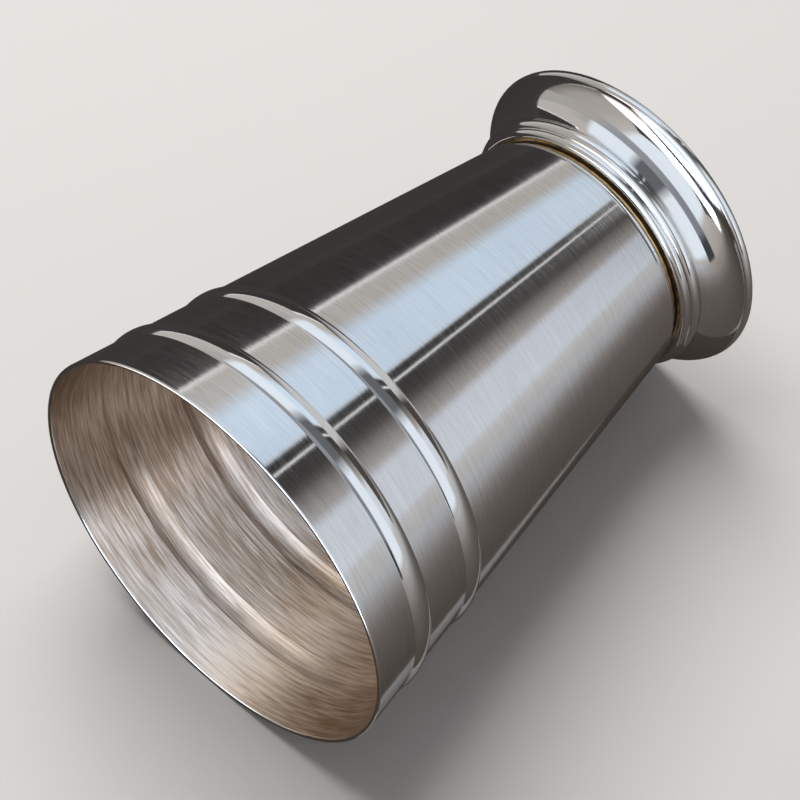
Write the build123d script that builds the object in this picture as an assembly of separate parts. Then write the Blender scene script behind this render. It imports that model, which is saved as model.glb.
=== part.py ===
from build123d import *
import os
from math import acos, atan2, cos, pi, radians, sin, sqrt, tan

# Julep cup, upright: +Z towards the mouth, origin at the centre of the standing face. All sizes in mm.

# Cup body: one drawn sheet, tapering from the mouth down to a rounded heel.
height = 113.4
mouth_d = 84.0
taper_deg = 9.35
wall = 0.8
heel_radius = 3.5

# Two beads swaged outwards from the wall, placed by their distance below the lip.
upper_bead_drop = 13.5
lower_bead_drop = 29.5
bead_width = 4.9
bead_height = 0.6
bead_root_radius = 0.5

# Foot: a spun ring that carries the floor on a turned-in seat and spreads out beyond the heel.
foot_height = 13.2
foot_spread = 7.15
foot_sheet = 1.0
seat_width = 5.0
seat_inset = 0.6

# Two rings under the seam, given by their rise along the axis, growth in radius and bulge.
upper_ring_rise = 1.4
upper_ring_grow = 1.5
upper_ring_bulge = 0.7
lower_ring_rise = 2.4
lower_ring_grow = 0.6
lower_ring_bulge = 0.65

# Rolled lip at the bottom of the foot, with a flat face to stand on.
foot_lip_radius = 1.2
foot_lip_crease_deg = 52.0
standing_width = 1.2

# Braze seam in the groove between the heel and the seat.
seam_start = 1.0
seam_width = 1.3
seam_hollow = 0.12


def at(r, z):
    """A point of a half section: radius r at height z."""
    return (r, 0, z)


def arc(centre, radius, start, end):
    """An arc about a centre given as (r, z), between two angles in radians."""
    points = [at(centre[0] + radius * cos(a), centre[1] + radius * sin(a))
              for a in (start, (start + end) / 2, end)]
    return ThreePointArc(*points)


def bulge(a, b, rise):
    """An arc from a to b that rises to the left of the way from a to b."""
    dr, dz = b[0] - a[0], b[1] - a[1]
    length = sqrt(dr * dr + dz * dz)
    mid = ((a[0] + b[0]) / 2 - dz / length * rise, (a[1] + b[1]) / 2 + dr / length * rise)
    return ThreePointArc(at(*a), at(*mid), at(*b))


def line(a, b):
    return Line(at(*a), at(*b))


def turned(edges):
    """A solid of revolution from the closed half section made of these edges."""
    return revolve(make_face(Wire(edges)), Axis.Z)


# Taper of the wall: the lip is a half round whose top is the cup's height and whose outside is the mouth.
taper = radians(taper_deg)
lip_centre = (mouth_d / 2 - wall / 2, height - wall / 2)
lip_out = (lip_centre[0] + wall / 2 * cos(taper), lip_centre[1] - wall / 2 * sin(taper))


def wall_point(z, depth=0.0, along=0.0):
    """A point square to the wall at outside height z: depth into the sheet, along the slope."""
    r = lip_out[0] - (lip_out[1] - z) * tan(taper)
    return (r - depth * cos(taper) + along * sin(taper), z + depth * sin(taper) + along * cos(taper))


# Beads: the outside arc spans the bead's width, the inside arc keeps the sheet's thickness about the same centre.
bead_radius = (bead_width ** 2 / 4 + bead_height ** 2) / (2 * bead_height)
bead_half_in = sqrt(2 * bead_height * (bead_radius - wall) - bead_height ** 2)


def bead_edges(drop, inside):
    """The two feet and the crest of a bead, from the upper foot down."""
    z = height - drop
    depth = wall if inside else 0.0
    half = bead_half_in if inside else bead_width / 2
    return wall_point(z, depth, half), wall_point(z, depth - bead_height), wall_point(z, depth, -half)


# Heel: an arc tangent to the taper and to the flat underside of the floor, which rests on the foot's seat.
heel_z = foot_height + heel_radius
heel_r = wall_point(heel_z)[0] - heel_radius / cos(taper)
heel_centre = (heel_r, heel_z)
floor_z = foot_height + wall


def body_section():
    upper_out, lower_out = bead_edges(upper_bead_drop, False), bead_edges(lower_bead_drop, False)
    upper_in, lower_in = bead_edges(upper_bead_drop, True), bead_edges(lower_bead_drop, True)
    heel_out = (heel_r + heel_radius * cos(taper), heel_z - heel_radius * sin(taper))
    heel_in = (heel_r + (heel_radius - wall) * cos(taper), heel_z - (heel_radius - wall) * sin(taper))
    lip_in = (lip_centre[0] - wall / 2 * cos(taper), lip_centre[1] + wall / 2 * sin(taper))
    edges = [
        line(lip_out, upper_out[0]),
        ThreePointArc(*[at(*p) for p in upper_out]),
        line(upper_out[2], lower_out[0]),
        ThreePointArc(*[at(*p) for p in lower_out]),
        line(lower_out[2], heel_out),
        arc(heel_centre, heel_radius, -taper, -pi / 2),
        line((heel_r, foot_height), (0, foot_height)),
        line((0, foot_height), (0, floor_z)),
        line((0, floor_z), (heel_r, floor_z)),
        arc(heel_centre, heel_radius - wall, -pi / 2, -taper),
        line(heel_in, lower_in[2]),
        ThreePointArc(*[at(*p) for p in reversed(lower_in)]),
        line(lower_in[0], upper_in[2]),
        ThreePointArc(*[at(*p) for p in reversed(upper_in)]),
        line(upper_in[0], lip_in),
        arc(lip_centre, wall / 2, pi - taper, -taper),
    ]
    return edges, (upper_out, lower_out)


section, outside_beads = body_section()
cup_body = turned(section)

# The outside roots of the beads are eased, as a rolling tool leaves them.
roots = [bead[i] for bead in outside_beads for i in (0, 2)]
root_edges = [e for e in cup_body.edges()
              if any(abs(e.center().Z - z) < 0.01 and abs(e.bounding_box().max.X - r) < 0.01 for r, z in roots)]
cup_body = fillet(root_edges, bead_root_radius)

# Foot, from the seat outwards and down: two rings, the cove and the rolled lip.
heel_out_r = heel_r + heel_radius * cos(taper)
seat_r = heel_out_r - seat_inset
ring_top = (seat_r, foot_height)
ring_crease = (ring_top[0] + upper_ring_grow, ring_top[1] - upper_ring_rise)
ring_end = (ring_crease[0] + lower_ring_grow, ring_crease[1] - lower_ring_rise)
lip_r, lip_z = heel_out_r + foot_spread - foot_lip_radius, foot_lip_radius
crease = radians(foot_lip_crease_deg)
lip_crease = (lip_r + foot_lip_radius * cos(crease), lip_z + foot_lip_radius * sin(crease))

# The cove leaves the rings straight down and sweeps out to the lip in one arc.
cove_dr, cove_dz = lip_crease[0] - ring_end[0], ring_end[1] - lip_crease[1]
cove_radius = (cove_dr ** 2 + cove_dz ** 2) / (2 * cove_dr)
cove_centre = (ring_end[0] + cove_radius, ring_end[1])
cove_end = 2 * pi + atan2(lip_crease[1] - cove_centre[1], lip_crease[0] - cove_centre[0])

# Inside of the foot: the cove keeps the sheet's thickness, down to the inner edge of the standing face.
stand_in = lip_r - standing_width
back_radius = cove_radius + foot_sheet
back_end = pi + acos((cove_centre[0] - stand_in) / back_radius)
back_foot = (stand_in, cove_centre[1] + back_radius * sin(back_end))
back_top = (ring_end[0] - foot_sheet, ring_end[1])
seat_under = (seat_r, foot_height - foot_sheet)
seat_in = seat_r - seat_width

foot = turned([
    bulge(ring_top, ring_crease, upper_ring_bulge),
    bulge(ring_crease, ring_end, lower_ring_bulge),
    arc(cove_centre, cove_radius, pi, cove_end),
    arc((lip_r, lip_z), foot_lip_radius, crease, -pi / 2),
    line((lip_r, 0), (stand_in, 0)),
    line((stand_in, 0), back_foot),
    arc(cove_centre, back_radius, back_end, pi),
    line(back_top, seat_under),
    line(seat_under, (seat_in, seat_under[1])),
    line((seat_in, seat_under[1]), (seat_in, foot_height)),
    line((seat_in, foot_height), ring_top),
])

# Braze seam: lies on the seat, against the heel, with a slightly hollow face.
seam_in_r, seam_out_r = heel_r + seam_start, heel_r + seam_start + seam_width
seam_low, seam_high = acos(seam_start / heel_radius), acos((seam_start + seam_width) / heel_radius)
seam_back = (seam_in_r, heel_z - heel_radius * sin(seam_low))
seam_top = (seam_out_r, heel_z - heel_radius * sin(seam_high))

braze_seam = turned([
    line((seam_in_r, foot_height), (seam_out_r, foot_height)),
    bulge((seam_out_r, foot_height), seam_top, seam_hollow),
    arc(heel_centre, heel_radius, -seam_high, -seam_low),
    line(seam_back, (seam_in_r, foot_height)),
])

os.makedirs("parts", exist_ok=True)
for name, solid in (("cup_body", cup_body), ("foot", foot), ("braze_seam", braze_seam)):
    export_step(solid, f"parts/{name}.step")
    box = solid.bounding_box()
    print(f"{name}: {box.size.X:.2f} x {box.size.Y:.2f} x {box.size.Z:.2f} mm, "
          f"z {box.min.Z:.2f} to {box.max.Z:.2f}, volume {solid.volume:.0f} mm3")
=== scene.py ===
# %% [markdown]
# # A polished steel julep cup
# The imported model gives the cup's frame: metres, +Z from foot to mouth, origin under the foot. This lesson
# dresses it: smooth turned pieces stand in for the faceted solids, and each metal gets its own finish. The
# solids themselves are kept, only hidden.

# %% Load the frame
from math import acos, asin, atan2, cos, degrees, pi, radians, sin, sqrt, tan

import bmesh
import bpy
from mathutils import Matrix, Vector


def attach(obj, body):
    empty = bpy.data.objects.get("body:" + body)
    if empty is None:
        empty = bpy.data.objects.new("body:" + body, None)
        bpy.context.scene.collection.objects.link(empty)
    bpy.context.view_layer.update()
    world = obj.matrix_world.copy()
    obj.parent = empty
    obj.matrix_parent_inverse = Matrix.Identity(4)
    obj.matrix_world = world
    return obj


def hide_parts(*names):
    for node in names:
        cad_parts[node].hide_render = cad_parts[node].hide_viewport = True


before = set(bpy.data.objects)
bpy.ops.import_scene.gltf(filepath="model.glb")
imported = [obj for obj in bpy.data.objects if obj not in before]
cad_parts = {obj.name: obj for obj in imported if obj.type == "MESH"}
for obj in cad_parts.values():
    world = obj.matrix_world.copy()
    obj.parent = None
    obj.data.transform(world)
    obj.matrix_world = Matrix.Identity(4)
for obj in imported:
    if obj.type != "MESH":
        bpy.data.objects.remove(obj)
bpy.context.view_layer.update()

scene = bpy.context.scene
scene.view_settings.view_transform = "Standard"

# %% [markdown]
# ## Camera
# The photograph looks into the mouth from above while the cup lies on its side, so the picture's own
# upright runs across the cup. A camera could be placed with a track-to constraint, but the roll would still
# be missing. Here the three directions of the picture, right, up and back, are written down as a rotation,
# which fixes the roll as well.

# %% Camera
PICTURE_RIGHT = Vector((-0.63674, -0.35684, -0.68354))
PICTURE_UP = Vector((0.77108, -0.29407, -0.56477))
PICTURE_BACK = PICTURE_RIGHT.cross(PICTURE_UP).normalized()
CAMERA_PLACE = Vector((0.0, -0.51060, 0.32992))
SENSOR_MM, LENS_MM = 36.0, 139.5


def placed(place, right, up, back):
    """A place with three directions for its own axes."""
    return Matrix.Translation(place) @ Matrix((right, up, back)).transposed().to_4x4()


camera = bpy.data.objects.new("camera", bpy.data.cameras.new("camera"))
camera.data.sensor_width = SENSOR_MM
camera.data.lens = LENS_MM
camera.matrix_world = placed(CAMERA_PLACE, PICTURE_RIGHT, PICTURE_UP, PICTURE_BACK)
scene.collection.objects.link(camera)
scene.camera = camera
print("camera looks along", [round(-v, 3) for v in PICTURE_BACK])

# %% [markdown]
# ## A pen
# Every piece of this cup was formed while turning: the body drawn and rolled, the foot spun over a chuck.
# So each is made from half of its section. A Bezier curve could hold the section, but it only comes close to
# an arc, so a pen extrudes the straight runs and spins the arcs about their centres. Long straight runs get
# short guard edges at both ends, so that smooth shading stays true along them.

# %% Pen
MM = 0.001
GUARD = 0.06
LONG_RUN = 6 * GUARD


class Pen:
    """Draws a half section in the XZ plane, in mm, by extruding its last vertex and spinning it in arcs."""

    def __init__(self, r, z):
        self.bm = bmesh.new()
        self.tip = self.bm.verts.new((r * MM, 0, z * MM))
        self.corners = []

    def at(self):
        return self.tip.co.x / MM, self.tip.co.z / MM

    def line(self, r, z, parts=1):
        r0, z0 = self.at()
        length = sqrt((r - r0) ** 2 + (z - z0) ** 2)
        stops = [i / parts for i in range(1, parts + 1)]
        if length > LONG_RUN:
            stops = [GUARD / length] + stops[:-1] + [1 - GUARD / length, 1.0]
        for stop in stops:
            self.tip = bmesh.ops.extrude_vert_indiv(self.bm, verts=[self.tip])["verts"][0]
            self.tip.co = ((r0 + (r - r0) * stop) * MM, 0, (z0 + (z - z0) * stop) * MM)
        return self

    def arc(self, cr, cz, angle, steps):
        """An arc about a centre, by an angle in radians."""
        spun = bmesh.ops.spin(self.bm, geom=[self.tip], cent=(cr * MM, 0, cz * MM), axis=(0, -1, 0),
                              angle=angle, steps=steps, use_duplicate=False)
        self.tip = spun["geom_last"][0]
        return self

    def bulge(self, r, z, rise, steps):
        """An arc to (r, z) that rises by so much to the left of the way."""
        r0, z0 = self.at()
        dr, dz = r - r0, z - z0
        chord = sqrt(dr * dr + dz * dz)
        drop = (chord * chord / 4 - rise * rise) / (2 * rise)
        cr, cz = (r0 + r) / 2 + dz / chord * drop, (z0 + z) / 2 - dr / chord * drop
        return self.arc(cr, cz, -4 * atan2(rise, chord / 2), steps)

    def corner(self, soften):
        """Marks the tip as a crease to be rounded."""
        self.corners.append((self.tip, soften))
        return self


print("guard edge mm", GUARD)

# %% [markdown]
# ## A lathe
# The lathe rounds the marked creases of a section and spins it once round the axis. A screw modifier would
# also turn it, but the bmesh spin leaves a plain mesh whose seam can be merged.

# %% Lathe
TURNS, CREASE_STEPS, MERGE_WITHIN = 288, 4, 1e-7


def put(name, bm):
    """Makes an object at the origin from a bmesh."""
    mesh = bpy.data.meshes.new(name)
    bm.to_mesh(mesh)
    bm.free()
    made = bpy.data.objects.new(name, mesh)
    scene.collection.objects.link(made)
    return made


def turned(name, pen):
    """The piece that a pen's section gives when it is spun."""
    bm = pen.bm
    for vert, soften in pen.corners:
        bmesh.ops.bevel(bm, geom=[vert], offset=soften * MM, affect="VERTICES", segments=CREASE_STEPS,
                        profile=0.5, material=-1)
    bmesh.ops.spin(bm, geom=bm.verts[:] + bm.edges[:], cent=(0, 0, 0), axis=(0, 0, 1),
                   angle=2 * pi, steps=TURNS, use_merge=True, use_duplicate=False)
    bmesh.ops.remove_doubles(bm, verts=bm.verts[:], dist=MERGE_WITHIN)
    bmesh.ops.recalc_face_normals(bm, faces=bm.faces[:])
    for face in bm.faces:
        face.smooth = True
    piece = put(name, bm)
    print(name, len(piece.data.polygons), "faces, box", [round(v / MM, 2) for v in piece.dimensions])
    return piece


print("steps round the axis", TURNS)

# %% [markdown]
# ## Cup body
# On the real cup one blank is drawn into a tapered shell, two beads are rolled outwards from inside, and
# the edge is polished round. The section runs from the middle of the floor's underside, round the heel, up
# the outside over both beads, over the lip, and back down the inside. A cone with a solidify modifier would
# give a plain wall. The pen also draws the inner side of each bead, which keeps the sheet's thickness, and
# that is why grooves show inside the mouth.

# %% Sizes of the cup body
HEIGHT, MOUTH_R, TAPER, SHEET = 113.4, 42.0, radians(9.35), 0.8
HEEL_RADIUS, SEAT_Z = 3.5, 13.2
BEAD_DROPS, BEAD_WIDTH, BEAD_RISE, BEAD_ROOT = (29.5, 13.5), 4.9, 0.6, 0.5

lip_r, lip_z = MOUTH_R - SHEET / 2, HEIGHT - SHEET / 2


def wall(z, depth=0.0, along=0.0):
    """A point square to the outside of the wall at height z."""
    r = lip_r + SHEET / 2 * cos(TAPER) - (lip_z - SHEET / 2 * sin(TAPER) - z) * tan(TAPER)
    return r - depth * cos(TAPER) + along * sin(TAPER), z + depth * sin(TAPER) + along * cos(TAPER)


bead_radius = (BEAD_WIDTH ** 2 / 4 + BEAD_RISE ** 2) / (2 * BEAD_RISE)
bead_half_in = sqrt(2 * BEAD_RISE * (bead_radius - SHEET) - BEAD_RISE ** 2)
bead_soften = BEAD_ROOT * BEAD_RISE / (BEAD_WIDTH / 2)
heel_z = SEAT_Z + HEEL_RADIUS
heel_r = wall(heel_z)[0] - HEEL_RADIUS / cos(TAPER)
heel_turn = pi / 2 - TAPER
print("bead radius mm", round(bead_radius, 3), "heel centre mm", round(heel_r, 3), heel_z)

# %% Cup body
pen = Pen(0, SEAT_Z).line(heel_r, SEAT_Z, parts=3).arc(heel_r, heel_z, heel_turn, steps=14)
for drop in BEAD_DROPS:
    pen.line(*wall(HEIGHT - drop, 0, -BEAD_WIDTH / 2), parts=6).corner(bead_soften)
    pen.bulge(*wall(HEIGHT - drop, 0, BEAD_WIDTH / 2), -BEAD_RISE, steps=16).corner(bead_soften)
pen.line(lip_r + SHEET / 2 * cos(TAPER), lip_z - SHEET / 2 * sin(TAPER), parts=4)
pen.arc(lip_r, lip_z, pi, steps=10)
for drop in reversed(BEAD_DROPS):
    pen.line(*wall(HEIGHT - drop, SHEET, bead_half_in), parts=4).corner(bead_soften)
    pen.bulge(*wall(HEIGHT - drop, SHEET, -bead_half_in), BEAD_RISE, steps=12).corner(bead_soften)
heel_in = HEEL_RADIUS - SHEET
pen.line(heel_r + heel_in * cos(TAPER), heel_z - heel_in * sin(TAPER), parts=6)
pen.arc(heel_r, heel_z, -heel_turn, steps=10).line(0, SEAT_Z + SHEET, parts=3)
cup = turned("drawn_cup", pen)
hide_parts("cup_body")
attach(cup, "root")

# %% [markdown]
# ## Foot
# The foot is a ring spun from thicker sheet: a seat turned in under the floor, two small rings, a cove that
# sweeps out, and a rolled lip to stand on. It is hollow beneath. Its creases could be left sharp, but
# polishing never leaves them so, and they are softened a little.

# %% Sizes of the foot
FOOT_SPREAD, FOOT_SHEET, SEAT_WIDTH, SEAT_INSET = 7.15, 1.0, 5.0, 0.6
UPPER_GROW, UPPER_FALL, UPPER_BULGE = 1.5, 1.4, 0.7
LOWER_GROW, LOWER_FALL, LOWER_BULGE = 0.6, 2.4, 0.65
ROLL_RADIUS, ROLL_CREASE, STAND_WIDTH = 1.2, radians(52), 1.2
RING_SOFTEN, COVE_SOFTEN, STAND_SOFTEN = 0.12, 0.25, 0.15

heel_out = heel_r + HEEL_RADIUS * cos(TAPER)
seat_r = heel_out - SEAT_INSET
crease_r, crease_z = seat_r + UPPER_GROW, SEAT_Z - UPPER_FALL
ring_r, ring_z = crease_r + LOWER_GROW, crease_z - LOWER_FALL
roll_r = heel_out + FOOT_SPREAD - ROLL_RADIUS
sweep_r, sweep_z = roll_r + ROLL_RADIUS * cos(ROLL_CREASE), ROLL_RADIUS * (1 + sin(ROLL_CREASE))
cove_radius = ((sweep_r - ring_r) ** 2 + (ring_z - sweep_z) ** 2) / (2 * (sweep_r - ring_r))
cove_r = ring_r + cove_radius
cove_turn = atan2(ring_z - sweep_z, cove_r - sweep_r)
back_radius = cove_radius + FOOT_SHEET
back_turn = acos((cove_r - roll_r + STAND_WIDTH) / back_radius)
print("cove radius mm", round(cove_radius, 3), "and its turn in degrees", round(degrees(cove_turn), 1))

# %% Foot
pen = Pen(seat_r - SEAT_WIDTH, SEAT_Z).line(seat_r, SEAT_Z, parts=2).corner(RING_SOFTEN)
pen.bulge(crease_r, crease_z, UPPER_BULGE, steps=12).corner(RING_SOFTEN)
pen.bulge(ring_r, ring_z, LOWER_BULGE, steps=14).corner(COVE_SOFTEN)
pen.arc(cove_r, ring_z, cove_turn, steps=26).corner(COVE_SOFTEN)
pen.arc(roll_r, ROLL_RADIUS, -pi / 2 - ROLL_CREASE, steps=18)
pen.line(roll_r - STAND_WIDTH, 0).corner(STAND_SOFTEN)
pen.line(roll_r - STAND_WIDTH, ring_z - back_radius * sin(back_turn), parts=2)
pen.arc(cove_r, ring_z, -back_turn, steps=16)
pen.line(seat_r, SEAT_Z - FOOT_SHEET, parts=2).line(seat_r - SEAT_WIDTH, SEAT_Z - FOOT_SHEET, parts=2)
pen.line(seat_r - SEAT_WIDTH, SEAT_Z)
foot = turned("spun_foot", pen)
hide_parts("foot")
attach(foot, "root")

# %% [markdown]
# ## Braze seam
# Filler metal was run into the groove where the heel meets the foot, and a thin warm line of it still
# shows. A torus could stand for it, but it would bulge out of the groove. So it is a small ring with a
# slightly hollow face, turned on the same lathe, and its upper side follows the heel.

# %% Braze seam
SEAM_START, SEAM_WIDTH, SEAM_HOLLOW = 1.0, 1.3, 0.12
seam_low, seam_high = acos(SEAM_START / HEEL_RADIUS), acos((SEAM_START + SEAM_WIDTH) / HEEL_RADIUS)
seam_r = heel_r + SEAM_START + SEAM_WIDTH
seam_top = heel_z - HEEL_RADIUS * sin(seam_high)

pen = Pen(heel_r + SEAM_START, SEAT_Z).line(seam_r, SEAT_Z)
pen.bulge(seam_r, seam_top, SEAM_HOLLOW, steps=8)
pen.arc(heel_r, heel_z, seam_high - seam_low, steps=6).line(heel_r + SEAM_START, SEAT_Z)
seam = turned("braze_ring", pen)
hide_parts("braze_seam")
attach(seam, "root")

# %% [markdown]
# ## Table
# The cup lies on a table and touches it with the rims of mouth and foot. A slab could be modelled, but one
# plane laid against both rims on the far side is enough. Here it is plain and pale, and it is seen from its
# upper side only, so the cup can also be looked at from below.

# %% Table
TABLE_HALF, TABLE_BELOW = 1.6, 0.0001
lean = atan2(MOUTH_R - heel_out - FOOT_SPREAD, lip_z - ROLL_RADIUS)
upright = sqrt(PICTURE_UP.z ** 2 + PICTURE_BACK.z ** 2)
tilt = atan2(-PICTURE_UP.z, PICTURE_BACK.z) + asin(sin(lean) / upright)
TABLE_UP = (PICTURE_UP * cos(tilt) + PICTURE_BACK * sin(tilt)).normalized()
TABLE_AWAY = TABLE_UP.cross(PICTURE_RIGHT).normalized()

toward = Vector((-TABLE_UP.x, -TABLE_UP.y, 0)).normalized()
touch = (toward * MOUTH_R + Vector((0, 0, lip_z))) * MM
foot_touch = (toward * (heel_out + FOOT_SPREAD) + Vector((0, 0, ROLL_RADIUS))) * MM
print("table up", [round(v, 4) for v in TABLE_UP])
print("foot clear by mm", round((foot_touch - touch).dot(TABLE_UP) / MM, 3))

bm = bmesh.new()
bmesh.ops.create_grid(bm, x_segments=1, y_segments=1, size=TABLE_HALF)
table_axes = placed(touch - TABLE_UP * TABLE_BELOW, PICTURE_RIGHT, TABLE_AWAY, TABLE_UP)
bmesh.ops.transform(bm, matrix=table_axes, verts=bm.verts[:])
table = put("table", bm)

# %% [markdown]
# ## Helpers for nodes
# Each finish below is a small net of nodes. They could be wired by hand every time, but a few steps come
# back in all of them: a sum, the three parts of a place, a range carried over to another, and colours along
# a value.

# %% Sums and ranges
def link(tree, source, target):
    tree.links.new(source, target)


def maths(tree, operation, *values):
    """A math node over sockets and plain numbers."""
    node = tree.nodes.new("ShaderNodeMath")
    node.operation = operation
    for socket, value in zip(node.inputs, values):
        if isinstance(value, float):
            socket.default_value = value
        else:
            link(tree, value, socket)
    return node.outputs[0]


def parts_of(tree, coords):
    """The X, Y and Z of a place."""
    split = tree.nodes.new("ShaderNodeSeparateXYZ")
    link(tree, coords, split.inputs[0])
    return [split.outputs[axis] for axis in "XYZ"]


def ranged(tree, value, low, high, span=(0.25, 0.75)):
    """Carries a value from a span to a range."""
    node = tree.nodes.new("ShaderNodeMapRange")
    node.inputs["From Min"].default_value, node.inputs["From Max"].default_value = span
    node.inputs["To Min"].default_value, node.inputs["To Max"].default_value = low, high
    link(tree, value, node.inputs["Value"])
    return node.outputs["Result"]


# %% Materials and tones
def new_material(name):
    material = bpy.data.materials.new(name)
    material.use_nodes = True
    return material, material.node_tree, material.node_tree.nodes["Principled BSDF"]


def tones(tree, value, stops):
    """Colours along a value, from stops of (value, colour)."""
    ramp = tree.nodes.new("ShaderNodeValToRGB")
    stops = sorted(stops)
    first, last = stops[0][0], stops[-1][0]
    elements = ramp.color_ramp.elements
    elements.remove(elements[1])
    for index, (place, colour) in enumerate(stops):
        share = (place - first) / (last - first)
        element = elements.new(share) if index else elements[0]
        element.position, element.color = share, (*colour, 1)
    link(tree, ranged(tree, value, 0, 1, (first, last)), ramp.inputs["Fac"])
    return ramp.outputs["Color"]


# %% [markdown]
# ## Turned grain
# Metal that was polished or scoured while it turned keeps fine lines that run round the axis. A picture of
# scratches could be wrapped round it, but one node group makes them for every finish: a noise stretched
# round the cup, squeezed across the lines. Height and radius both count across, so the lines stay fine on
# walls, coves and flat floors alike.

# %% Turned grain group
GRAIN_INPUTS = {"Round": 150.0, "Across": 3000.0, "Detail": 2.0}


def turned_grain():
    tree = bpy.data.node_groups.new("turned_grain", "ShaderNodeTree")
    for name, default in GRAIN_INPUTS.items():
        socket = tree.interface.new_socket(name, in_out="INPUT", socket_type="NodeSocketFloat")
        socket.default_value = default
    tree.interface.new_socket("Grain", in_out="OUTPUT", socket_type="NodeSocketFloat")
    nodes = tree.nodes
    entry, leave = nodes.new("NodeGroupInput"), nodes.new("NodeGroupOutput")
    x, y, z = parts_of(tree, nodes.new("ShaderNodeTexCoord").outputs["Object"])
    flat, stretch = (nodes.new("ShaderNodeCombineXYZ") for _ in range(2))
    link(tree, x, flat.inputs["X"])
    link(tree, y, flat.inputs["Y"])
    radius = nodes.new("ShaderNodeVectorMath")
    radius.operation = "LENGTH"
    link(tree, flat.outputs[0], radius.inputs[0])
    for source, scale, target in ((x, "Round", "X"), (y, "Round", "Y"), (z, "Across", "Z")):
        link(tree, maths(tree, "MULTIPLY", source, entry.outputs[scale]), stretch.inputs[target])
    depth = maths(tree, "MULTIPLY", radius.outputs["Value"], entry.outputs["Across"])
    noise = nodes.new("ShaderNodeTexNoise")
    noise.noise_dimensions = "4D"
    noise.inputs["Scale"].default_value = 1.0
    link(tree, stretch.outputs[0], noise.inputs["Vector"])
    link(tree, depth, noise.inputs["W"])
    link(tree, entry.outputs["Detail"], noise.inputs["Detail"])
    link(tree, noise.outputs["Fac"], leave.inputs["Grain"])
    return tree


GRAIN = turned_grain()
print("group", GRAIN.name, [item.name for item in GRAIN.interface.items_tree])

# %% [markdown]
# ## Steel finishes
# All the steel is one alloy, and only the finish differs: the outside is polished but keeps hairlines, the
# beads, lip and foot are buffed to a mirror, and the inside was only scoured, so it is satin. Inside, the
# colour is painted darker and browner than outside, as shade and warm light in the hollow. Three materials
# could be wired one by one, but one helper builds each finish from the grain: it drives a little colour,
# more roughness, and a shallow bump.

# %% Steel helper
RINGS, PATCHES = (40.0, 130.0, 1.0), (35.0, 45.0, 3.0)
FINE_SHARE, SMEAR_TURN = 0.75, 0.25


def grain_in(tree, *values):
    """The grain in a material, with values for round, across and detail."""
    node = tree.nodes.new("ShaderNodeGroup")
    node.node_tree = GRAIN
    for name, value in zip(GRAIN_INPUTS, values):
        node.inputs[name].default_value = value
    return node.outputs["Grain"]


def steel(name, dark, light, roughness, lines, depth, ripple, smear=0.0, span=(0.3, 0.7)):
    """A metal whose grain runs from dark to light over a span of the noise. Depth and ripple are the
    heights of its lines and rings in mm."""
    material, tree, shader = new_material(name)
    shader.inputs["Metallic"].default_value = 1.0
    shader.inputs["Anisotropic"].default_value = smear
    shader.inputs["Anisotropic Rotation"].default_value = SMEAR_TURN
    fine = grain_in(tree, *lines)
    broad = ranged(tree, grain_in(tree, *PATCHES), 0.0, 1 - FINE_SHARE)
    mixed = maths(tree, "MULTIPLY_ADD", fine, FINE_SHARE, broad)
    link(tree, tones(tree, mixed, zip(span, (dark, light))), shader.inputs["Base Color"])
    link(tree, ranged(tree, mixed, *roughness), shader.inputs["Roughness"])
    rings, hairs = (tree.nodes.new("ShaderNodeBump") for _ in range(2))
    for bump, height, distance in ((rings, grain_in(tree, *RINGS), ripple), (hairs, fine, depth)):
        bump.inputs["Distance"].default_value = distance * MM
        link(tree, height, bump.inputs["Height"])
    link(tree, rings.outputs["Normal"], hairs.inputs["Normal"])
    link(tree, hairs.outputs["Normal"], shader.inputs["Normal"])
    print("finish", name)
    return material


# %% Steel finishes
HAIRLINE = steel("hairline_polish", dark=(0.58, 0.58, 0.58), light=(0.70, 0.70, 0.70),
                 roughness=(0.08, 0.14), lines=(150.0, 2500.0, 4.0), depth=0.010, ripple=0.010, smear=0.9)
MIRROR = steel("buffed_mirror", dark=(0.70, 0.695, 0.69), light=(0.74, 0.735, 0.73),
               roughness=(0.05, 0.10), lines=(60.0, 2500.0, 2.0), depth=0.0006, ripple=0.045)
# Inside: painted shade and warm light make its tones darker and browner than outside; the grain in them is
# random.
SHADED_SATIN = steel("scoured_inside_shaded", dark=(0.38, 0.275, 0.19), light=(0.79, 0.69, 0.59),
              roughness=(0.34, 0.50), lines=(140.0, 2600.0, 4.0), depth=0.07, ripple=0.010, smear=0.90,
              span=(0.36, 0.63))

# %% [markdown]
# ## Braze finish
# The filler metal is brass and shows gold along its upper edge. Below that, deep in the groove, the colour
# is painted shade of dark brown, so the groove under the heel reads as a thin gold line above a dark one.
# Two materials would meet in a hard edge. Instead the height in the seam sets the change, and the grain
# breaks it up.

# %% Braze finish
# The dark brown is painted shade deep in the groove; the gold is the brass itself.
GROOVE_SHADE, GOLD = (0.035, 0.02, 0.012), (0.80, 0.52, 0.20)
SHADE_UP_TO, GOLD_FROM, UNEVEN = 0.45, 0.75, 0.2
BRAZE_LINES, BRAZE_ROUGHNESS = (500.0, 900.0, 3.0), (0.2, 0.45)


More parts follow.
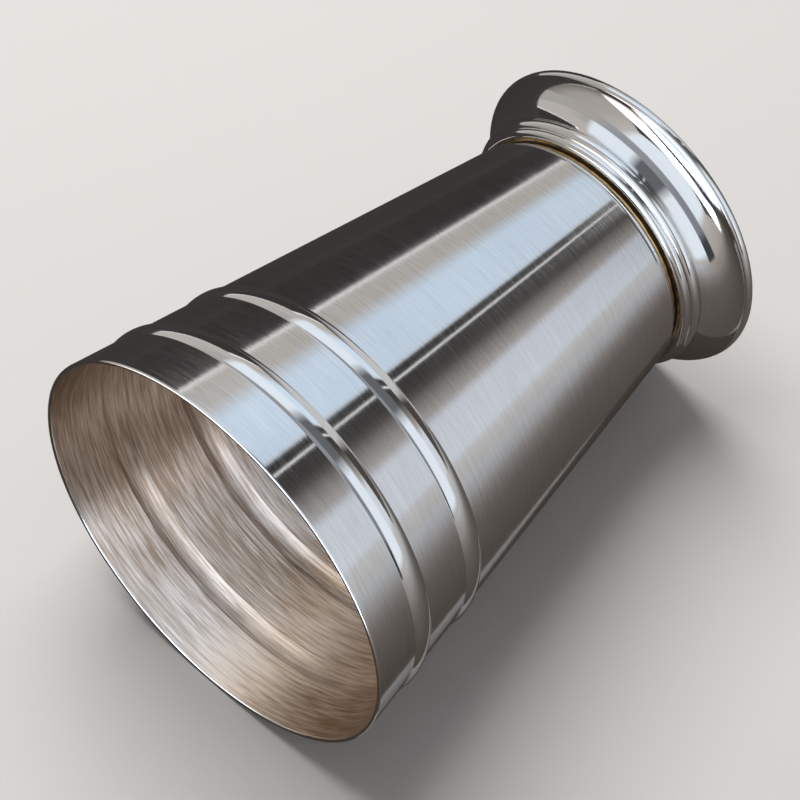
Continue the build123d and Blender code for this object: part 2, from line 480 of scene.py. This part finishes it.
def shaded_braze(name, low, high):
    """Brass with painted shade at the low height, deep in the groove, and its own gold at the high one."""
    material, tree, shader = new_material(name)
    shader.inputs["Metallic"].default_value = 1.0
    z = parts_of(tree, tree.nodes.new("ShaderNodeTexCoord").outputs["Object"])[2]
    grain = grain_in(tree, *BRAZE_LINES)
    rise = ranged(tree, z, 0, 1, (low, high))
    out_of_shade = maths(tree, "ADD", rise, ranged(tree, grain, -UNEVEN, UNEVEN))
    # Painted shade low in the groove, the brass's own gold above it.
    colour = tones(tree, out_of_shade, [(SHADE_UP_TO, GROOVE_SHADE), (GOLD_FROM, GOLD)])
    link(tree, colour, shader.inputs["Base Color"])
    link(tree, ranged(tree, grain, *BRAZE_ROUGHNESS), shader.inputs["Roughness"])
    print("finish", name)
    return material


BRAZE = shaded_braze("shaded_braze", SEAT_Z * MM, seam_top * MM)

# %% [markdown]
# ## Sharing out the finishes
# The cup is one mesh with three finishes. Painted masks could blend them, but a buffed bead ends where its
# shape ends. So each face is told apart by where it lies: inside the middle of the sheet, on a bead or the
# lip, or on the plain outside.

# %% Share out the finishes
FINISHES = (HAIRLINE, MIRROR, SHADED_SATIN)
BEAD_MARGIN = 0.3

for finish in FINISHES:
    cup.data.materials.append(finish)
for face in cup.data.polygons:
    z = face.center.z / MM
    facing_out = face.normal.x * face.center.x + face.normal.y * face.center.y > 0
    outside = facing_out or z < SEAT_Z + SHEET / 2
    on_bead = any(abs(z - HEIGHT + drop) < BEAD_WIDTH / 2 + BEAD_MARGIN for drop in BEAD_DROPS)
    if z > lip_z:
        finish = MIRROR
    elif not outside:
        finish = SHADED_SATIN
    elif on_bead or z < heel_z - HEEL_RADIUS * sin(TAPER):
        finish = MIRROR
    else:
        finish = HAIRLINE
    face.material_index = FINISHES.index(finish)
foot.data.materials.append(MIRROR)
seam.data.materials.append(BRAZE)
shares = [face.material_index for face in cup.data.polygons]
print("faces with hairlines, mirror and satin", [shares.count(index) for index in range(len(FINISHES))])

# %% [markdown]
# ## Table finish
# The table is matt and pale. A plain material would hide the cup from below, so this one shows only its
# upper face and lets the view through from the other side.

# %% Table finish
PALE, TABLE_ROUGHNESS, TABLE_SHINE = (0.62, 0.605, 0.59), 0.85, 0.2

pale, tree, shader = new_material("pale_table")
shader.inputs["Base Color"].default_value = (*PALE, 1)
shader.inputs["Roughness"].default_value = TABLE_ROUGHNESS
shader.inputs["Specular IOR Level"].default_value = TABLE_SHINE
side, see_through, mix = (tree.nodes.new("ShaderNode" + kind) for kind in
                          ("NewGeometry", "BsdfTransparent", "MixShader"))
link(tree, side.outputs["Backfacing"], mix.inputs[0])
link(tree, shader.outputs[0], mix.inputs[1])
link(tree, see_through.outputs[0], mix.inputs[2])
link(tree, mix.outputs[0], tree.nodes["Material Output"].inputs["Surface"])
table.data.materials.append(pale)
print("finish", pale.name)

# %% [markdown]
# ## Room
# The room is an even pale grey. One strength could serve for everything, but then the form would look flat.
# So it is the same to the eye and in the metal, and weaker for lighting, so that the lamp models the form.

# %% Room
ROOM, ROOM_SEEN, ROOM_LIGHTS = (0.60, 0.575, 0.555), 1.0, 0.45

world = bpy.data.worlds.new("room")
world.use_nodes = True
tree = world.node_tree
back = tree.nodes["Background"]
back.inputs["Color"].default_value = (*ROOM, 1)
rays = tree.nodes.new("ShaderNodeLightPath").outputs
seen = maths(tree, "MAXIMUM", rays["Is Camera Ray"], rays["Is Glossy Ray"])
seen = maths(tree, "MAXIMUM", seen, rays["Is Transmission Ray"])
link(tree, ranged(tree, seen, ROOM_LIGHTS, ROOM_SEEN, (0, 1)), back.inputs["Strength"])
scene.world = world
print("room seen at", ROOM_SEEN, "and lighting at", ROOM_LIGHTS)

# %% [markdown]
# ## Paper for reflections
# Polished metal is drawn by what it mirrors. Area lamps would put plain white boxes in it. Walls and cards
# that glow in tones set by their place can draw every strip. They are for reflections only: neither the
# camera, the table nor the shadows know of them.

# %% Toned paper
# A Mix node has sockets of one name for each kind of data, so those for colours are found by number.
MIX_A, MIX_B, MIX_RESULT = 6, 7, 2


def height_share(tree, coords, low, high, most=1.0):
    """Grows from 0 at a low height to its most at a high one."""
    return ranged(tree, parts_of(tree, coords)[2], 0.0, most, (low, high))


def toned_paper(name, value_of, stops, upper=None):
    """A card that glows in tones along a value of its place. Upper gives two heights, between which the
    tones change over to a second set."""
    paper, tree, shader = new_material(name)
    tree.nodes.remove(shader)
    coords = tree.nodes.new("ShaderNodeTexCoord").outputs["Object"]
    glow = tree.nodes.new("ShaderNodeEmission")
    value = value_of(tree, coords)
    colour = tones(tree, value, stops)
    if upper:
        low, high, upper_stops = upper
        mix = tree.nodes.new("ShaderNodeMix")
        mix.data_type = "RGBA"
        link(tree, height_share(tree, coords, low, high), mix.inputs["Factor"])
        link(tree, colour, mix.inputs[MIX_A])
        link(tree, tones(tree, value, upper_stops), mix.inputs[MIX_B])
        colour = mix.outputs[MIX_RESULT]
    link(tree, colour, glow.inputs["Color"])
    link(tree, glow.outputs[0], tree.nodes["Material Output"].inputs["Surface"])
    return paper


def only_mirrored(name, bm, paper):
    board = put(name, bm)
    board.data.materials.append(paper)
    board.visible_camera = board.visible_diffuse = board.visible_shadow = False
    print("mirrored only", name)


# %% Values along walls and cards
def angle_round(tree, coords):
    """Degrees round the axis from the camera's side, towards +X."""
    x, y = parts_of(tree, coords)[:2]
    around = maths(tree, "ARCTAN2", x, maths(tree, "MULTIPLY", y, -1.0))
    return maths(tree, "MULTIPLY", around, degrees(1))


def leaning_angle(low, high, lean):
    """Degrees round the axis, less a lean that grows between two heights."""
    def value_of(tree, coords):
        less = height_share(tree, coords, low, high, lean)
        return maths(tree, "SUBTRACT", angle_round(tree, coords), less)
    return value_of


def distance_from(place, direction):
    """Metres from a place along a direction."""
    def value_of(tree, coords):
        shift, along = (tree.nodes.new("ShaderNodeVectorMath") for _ in range(2))
        shift.operation, along.operation = "SUBTRACT", "DOT_PRODUCT"
        shift.inputs[1].default_value, along.inputs[1].default_value = place, direction
        link(tree, coords, shift.inputs[0])
        link(tree, shift.outputs[0], along.inputs[0])
        return along.outputs["Value"]
    return value_of


# %% [markdown]
# ## Reflection walls
# Flat boards could stand round the cup, but they would meet in corners. Curved walls stand half a metre from
# the cup, round its axis, so every change of tone across them becomes a straight strip along the cup.

# %% Curved wall helper
WALL_OUT, WALL_STEPS = 0.5, 90
WALL_LOW, PANEL_TOP, WALL_MID, WALL_HIGH = -0.60, 0.075, 0.235, 1.0


def curved_wall(name, low, high, ends, stops, upper=None, value_of=angle_round, out=WALL_OUT):
    """A wall round the axis between two heights and two angles, with stops of (degrees, colour)."""
    start, end = ends
    bm = bmesh.new()
    bottom = bm.verts.new((out * sin(radians(start)), -out * cos(radians(start)), low))
    top = bmesh.ops.extrude_vert_indiv(bm, verts=[bottom])["verts"][0]
    top.co.z = high
    bmesh.ops.spin(bm, geom=bm.verts[:] + bm.edges[:], cent=(0, 0, 0), axis=(0, 0, 1),
                   angle=radians(end - start), steps=WALL_STEPS, use_duplicate=False)
    only_mirrored(name, bm, toned_paper(name, value_of, stops, upper))


# %% [markdown]
# The lower walls give the body its strips: charcoal, a thin light edge, grey, a cool light panel, a dark gap
# with one bright line, and a second panel. Higher up, where only the beads, the rings and the foot look, the
# panels brighten and the dark parts fade, and on the far left the charcoal draws back.

# %% Lower walls
FADE, DRAW_BACK = (-0.27, -0.17), (-0.22, 0.0, 52)
CHARCOAL, SOOT, SMOKE = (0.05, 0.045, 0.045), (0.07, 0.065, 0.06), (0.12, 0.105, 0.10)
BEIGE, LINEN, TAUPE = (0.62, 0.585, 0.55), (0.5, 0.49, 0.47), (0.50, 0.47, 0.455)
COOL, COOL_EDGE = (0.83, 0.98, 1.16), (0.75, 0.80, 0.85)
SILVER, PEWTER, GAP = (0.83, 0.88, 0.97), (0.72, 0.72, 0.73), (0.16, 0.17, 0.18)
STONE, STONE_END = (0.58, 0.56, 0.54), (0.56, 0.54, 0.52)
SAND, SAND_END = (0.58, 0.55, 0.53), (0.56, 0.53, 0.51)
BRIGHT, GLARE = (1.5, 1.5, 1.5), (1.0, 1.1, 1.2)

curved_wall("wall_far_left", WALL_LOW, PANEL_TOP, (70, 150), [
    (150, CHARCOAL), (80.2, CHARCOAL), (79.4, BRIGHT), (78, BRIGHT), (77, BEIGE), (40, BEIGE), (18, LINEN)],
    value_of=leaning_angle(*DRAW_BACK))
curved_wall("wall_left", WALL_LOW, PANEL_TOP, (0, 70), [
    (70, BEIGE), (62, BEIGE), (50, COOL), (19, COOL), (17, COOL_EDGE), (16.2, CHARCOAL), (10.8, CHARCOAL),
    (10.3, BRIGHT), (9.7, BRIGHT), (9.2, CHARCOAL), (0, SOOT)],
    (*FADE, [(70, BEIGE), (65, GLARE), (29, GLARE), (20, GAP), (0, GAP)]))
curved_wall("wall_right", WALL_LOW, PANEL_TOP, (-70, 0), [
    (0, SOOT), (-4, SMOKE), (-20, TAUPE), (-26, SILVER), (-52, SILVER), (-53, PEWTER), (-66, STONE),
    (-70, STONE_END)],
    (*FADE, [(0, GAP), (-3, GAP), (-13, GLARE), (-61, GLARE), (-66, SAND), (-70, SAND_END)]))

# %% [markdown]
# Two more walls stand on these, for the parts of beads and foot that look level or up: a dim band, and above
# it a broad bright panel between brown ends.

# %% Upper walls
UMBER, EARTH, PUTTY = (0.10, 0.09, 0.08), (0.14, 0.13, 0.12), (0.5, 0.48, 0.46)
ASH, LEAD, SLATE = (0.40, 0.42, 0.45), (0.33, 0.35, 0.38), (0.27, 0.29, 0.33)
INK, BROWN, DUSK = (0.06, 0.065, 0.08), (0.45, 0.42, 0.39), (0.06, 0.046, 0.036)
PEAT, OAK, WHEAT = (0.14, 0.12, 0.10), (0.46, 0.43, 0.40), (0.52, 0.49, 0.46)
CREAM, OAT = (0.66, 0.62, 0.60), (0.62, 0.58, 0.55)
FAWN, COCOA = (0.48, 0.44, 0.41), (0.20, 0.17, 0.15)

curved_wall("wall_band", PANEL_TOP, WALL_MID, (-130, 150), [
    (150, UMBER), (130, EARTH), (126, PUTTY), (70, PUTTY), (50, ASH), (0, LEAD), (-45, SLATE), (-54, INK),
    (-68, INK), (-72, BROWN), (-130, DUSK)])
curved_wall("wall_above", WALL_MID, WALL_HIGH, (-130, 150), [
    (150, DUSK), (130, PEAT), (105, OAK), (72, WHEAT), (48, CREAM), (40, GLARE), (-38, GLARE), (-46, OAT),
    (-70, FAWN), (-100, COCOA), (-130, DUSK)])

# %% [markdown]
# A small panel close over the mouth lights the inside: cool where it is bright, warm where it dims. Its
# tones change over half way up, because the depth of the cup sees only its upper part, over the lip.

# %% Panel over the mouth
PANEL_OUT, PANEL_LOW, PANEL_HIGH, PANEL_CHANGE = 0.10, 0.145, 0.33, (0.20, 0.27)
LOW_WARM, LOW_SOFT, LOW_DIM = (2.2, 2.1, 2.0), (2.4, 2.55, 2.8), (1.7, 2.0, 2.4)
LOW_MIDDLE, LOW_COOL, LOW_PEAK = (1.7, 2.0, 2.5), (3.2, 3.8, 4.7), (5.0, 5.8, 7.2)
LOW_EDGE = (0.4, 0.36, 0.32)
HIGH_WARM, HIGH_COOL = (2.0, 1.9, 1.8), (6.2, 7.2, 8.9)
HIGH_PEAK, HIGH_EDGE = (6.6, 7.7, 9.5), (1.6, 1.5, 1.45)

curved_wall("panel_over_mouth", PANEL_LOW, PANEL_HIGH, (-85, 110), [
    (110, DUSK), (98, LOW_WARM), (60, LOW_SOFT), (30, LOW_DIM), (5, LOW_MIDDLE), (-25, LOW_COOL),
    (-65, LOW_PEAK), (-70, LOW_EDGE), (-85, DUSK)],
    (*PANEL_CHANGE, [(110, DUSK), (75, HIGH_WARM), (45, HIGH_COOL), (0, HIGH_PEAK), (-22, HIGH_EDGE),
                     (-45, DUSK), (-85, DUSK)]), out=PANEL_OUT)

# %% [markdown]
# ## Flat cards
# Flat cards close the dark side: one beneath the walls, beyond the foot, one far above the mouth, and four
# lying by the cup. The walls could reach further round instead, but only a card on the table comes right up
# to the cup. So its flanks and the inside of the mouth fall off to charcoal and brown instead of taking the
# table's pale tone.

# %% Flat card helpers
def flat_card(name, axes, width, height, value_of, stops, upper=None):
    """A card with its middle and axes given, and stops of (metres, colour)."""
    bm = bmesh.new()
    bmesh.ops.create_grid(bm, x_segments=1, y_segments=1, size=0.5)
    bmesh.ops.scale(bm, vec=(width, height, 1), verts=bm.verts[:])
    bmesh.ops.transform(bm, matrix=axes, verts=bm.verts[:])
    only_mirrored(name, bm, toned_paper(name, value_of, stops, upper))


def card_by_cup(name, right, away, bearing, width, height, lift, stops, upper=None):
    """A card on the table: its near edge's middle from where the mouth touches, and the way it runs from
    there, in degrees from the picture's right."""
    run = PICTURE_RIGHT * cos(radians(bearing)) + TABLE_AWAY * sin(radians(bearing))
    near = touch + PICTURE_RIGHT * right + TABLE_AWAY * away + TABLE_UP * lift
    axes = placed(near + run * height / 2, TABLE_UP.cross(run), -run, TABLE_UP)
    flat_card(name, axes, width, height, distance_from(near, run), stops, upper)


# %% Cards below and above
CARD_BELOW, CARD_ABOVE = Vector((0, -0.25, WALL_LOW)), Vector((0, 0, 0.45))
BARK, PLASTER, PLASTER_END = (0.08, 0.07, 0.06), (0.70, 0.70, 0.70), (0.70, 0.72, 0.74)
along_x = distance_from((0, 0, 0), (1, 0, 0))

flat_card("card_below", Matrix.Translation(CARD_BELOW), width=1.2, height=0.9, value_of=along_x, stops=[
    (-0.3, UMBER), (-0.03, BARK), (0.04, PLASTER), (0.3, PLASTER_END), (0.45, CHARCOAL)])
flat_card("card_above", Matrix.Translation(CARD_ABOVE), width=0.5, height=0.5, value_of=along_x, stops=[
    (-0.25, DUSK), (0.25, DUSK)])

# %% Cards by the cup
# They lie just over the table, but under the place where the mouth touches, so that none cuts the lip.
UPPER_CARD, LOWER_CARD, CARD_CHANGE = -0.00002, -0.00005, (-0.10, 0.12)
COAL, TAR, LOAM = (0.08, 0.075, 0.07), (0.02, 0.018, 0.016), (0.07, 0.058, 0.05)
RUST, RUST_PALE, MOLE = (0.14, 0.12, 0.11), (0.16, 0.14, 0.13), (0.29, 0.27, 0.26)
DOVE, MIST, HAZE = (0.46, 0.46, 0.47), (0.58, 0.60, 0.63), (0.66, 0.70, 0.75)
TURF, HIDE, CHESTNUT = (0.15, 0.13, 0.115), (0.32, 0.29, 0.27), (0.14, 0.115, 0.095)

card_by_cup("card_back", right=0.012, away=0.103, bearing=122, width=0.9, height=0.8, lift=UPPER_CARD,
            stops=[(0.0, CHARCOAL), (0.8, COAL)])
card_by_cup("card_right", right=0.080, away=0.025, bearing=-33, width=0.9, height=1.0, lift=UPPER_CARD,
            stops=[(0.0, RUST), (0.06, RUST_PALE), (0.115, MOLE), (0.18, DOVE), (0.36, MIST), (1.0, HAZE)],
            upper=(*CARD_CHANGE, [(0.0, LOAM), (0.05, TURF), (0.14, HIDE), (0.4, BROWN), (1.0, BROWN)]))
card_by_cup("card_front", right=-0.004, away=-0.004, bearing=227, width=0.6, height=0.6, lift=LOWER_CARD,
            stops=[(0.0, DUSK), (0.6, CHESTNUT)])
# The card under the cup is painted shadow: foot and lower flank mirror it as the shade beneath the cup.
card_by_cup("shadow_card_under", right=0.0027, away=0.0885, bearing=-43, width=0.146, height=0.095,
            lift=LOWER_CARD, stops=[(0.0, CHARCOAL), (0.03, TAR), (0.065, TAR), (0.095, LOAM)])

# %% [markdown]
# ## Lamp
# One broad lamp lights the table from behind the cup and drops the shadow towards the viewer. A small lamp
# would give the shadow a hard edge. The metal does not mirror it, because the walls already give it its
# lights.

# %% Lamp
LAMP_SIDE, LAMP_POWER, LAMP_OUT = 0.7, 10.0, 0.9
LAMP_RIGHT, LAMP_AWAY, LAMP_UP = -0.18, 0.38, 0.90
CUP_MIDDLE = Vector((0, 0, 0.055))

broad = bpy.data.lights.new("broad_lamp", "AREA")
broad.shape = "RECTANGLE"
broad.size = broad.size_y = LAMP_SIDE
broad.energy = LAMP_POWER
lamp = bpy.data.objects.new("broad_lamp", broad)
aim = (PICTURE_RIGHT * LAMP_RIGHT + TABLE_AWAY * LAMP_AWAY + TABLE_UP * LAMP_UP).normalized()
aimed = aim.to_track_quat("Z", "Y").to_matrix().to_4x4()
lamp.matrix_world = Matrix.Translation(CUP_MIDDLE + aim * LAMP_OUT) @ aimed
lamp.visible_camera = lamp.visible_glossy = False
scene.collection.objects.link(lamp)
print("lamp at", [round(v, 3) for v in CUP_MIDDLE + aim * LAMP_OUT])
